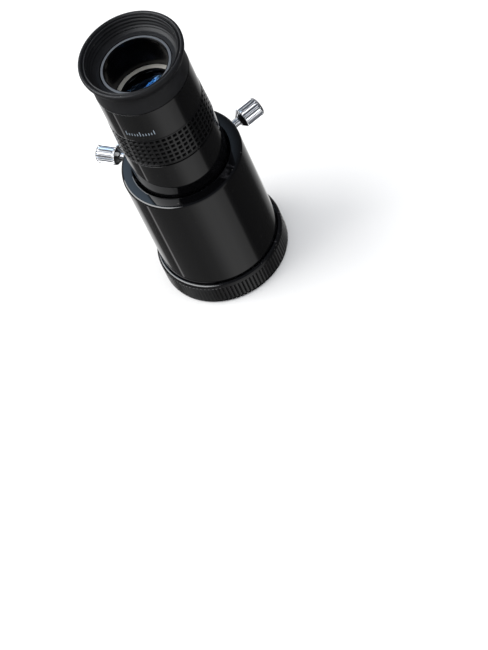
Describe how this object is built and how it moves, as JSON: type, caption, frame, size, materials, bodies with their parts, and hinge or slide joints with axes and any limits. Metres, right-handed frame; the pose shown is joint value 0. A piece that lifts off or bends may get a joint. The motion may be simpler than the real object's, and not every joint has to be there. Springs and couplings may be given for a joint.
{
  "type": "telescope eyepiece",
  "caption": "Long-eye-relief telescope eyepiece with a rubber eyecup and gridded grip, clamped by thumbscrews in a glossy holder tube with a knurled coupling ring.",
  "frame": {"origin": "centre of the coupling ring's flat lower face, on the optical axis", "axes": "+Z along the optical axis towards the eye; the two thumbscrews lie 29 degrees behind the X axis, one each side of +Y"},
  "size_m": [0.0576, 0.0436, 0.1062],
  "materials": {
    "rubber": "matte moulded rubber",
    "gloss_black": "gloss black anodised",
    "satin_black": "satin black anodised",
    "grip": "satin black, square grid texture",
    "knurled_black": "satin black, fine straight knurl",
    "grey_ring": "satin grey",
    "pale_ring": "warm light grey metal",
    "glass": "polished and coated",
    "spring_steel": "plain spring steel",
    "chrome": "bright chrome plate"
  },
  "bodies": {
    "holder": {"holder_tube": "gloss_black", "ring_clip": "spring_steel"},
    "eyepiece": {"eyecup": "rubber", "housing": "gloss_black", "grip_sleeve": "grip", "eye_aperture_ring": "grey_ring", "eye_lens_retainer": "pale_ring", "eye_lens_flint": "glass", "eye_lens_crown": "glass", "lens_spacer": "satin_black", "field_lens_crown": "glass", "field_lens_flint": "glass", "field_lens_washer": "satin_black", "field_stop": "satin_black", "barrel": "gloss_black"},
    "coupling_ring": {"coupling_ring": "knurled_black"},
    "right_stud": {"thumbscrew_right_stud": "chrome"},
    "right_head": {"thumbscrew_right_head": "chrome"},
    "left_stud": {"thumbscrew_left_stud": "chrome"},
    "left_head": {"thumbscrew_left_head": "chrome"}
  },
  "joints": [
    {"name": "eyepiece_slide", "type": "slide", "parent": "holder", "child": "eyepiece", "axis": [0, 0, 1], "range_m": [-0.016, 0.014]},
    {"name": "coupling_ring_turn", "type": "hinge", "parent": "holder", "child": "coupling_ring", "pos_m": [0, 0, 0], "axis": [0, 0, 1], "continuous": true},
    {"name": "right_stud_slide", "type": "slide", "parent": "holder", "child": "right_stud", "axis": [0.8746, 0.4848, 0], "range_m": [0, 0.003]},
    {"name": "right_head_turn", "type": "hinge", "parent": "right_stud", "child": "right_head", "pos_m": [0, 0, 0.0483], "axis": [0.8746, 0.4848, 0], "range_deg": [0, 2160]},
    {"name": "left_stud_slide", "type": "slide", "parent": "holder", "child": "left_stud", "axis": [-0.8746, 0.4848, 0], "range_m": [0, 0.003]},
    {"name": "left_head_turn", "type": "hinge", "parent": "left_stud", "child": "left_head", "pos_m": [0, 0, 0.0483], "axis": [-0.8746, 0.4848, 0], "range_deg": [0, 2160]}
  ],
  "couplings": [
    {"joint": "right_stud_slide", "follows": "right_head_turn", "m_per_rad": 0.000079577},
    {"joint": "left_stud_slide", "follows": "left_head_turn", "m_per_rad": 0.000079577}
  ]
}
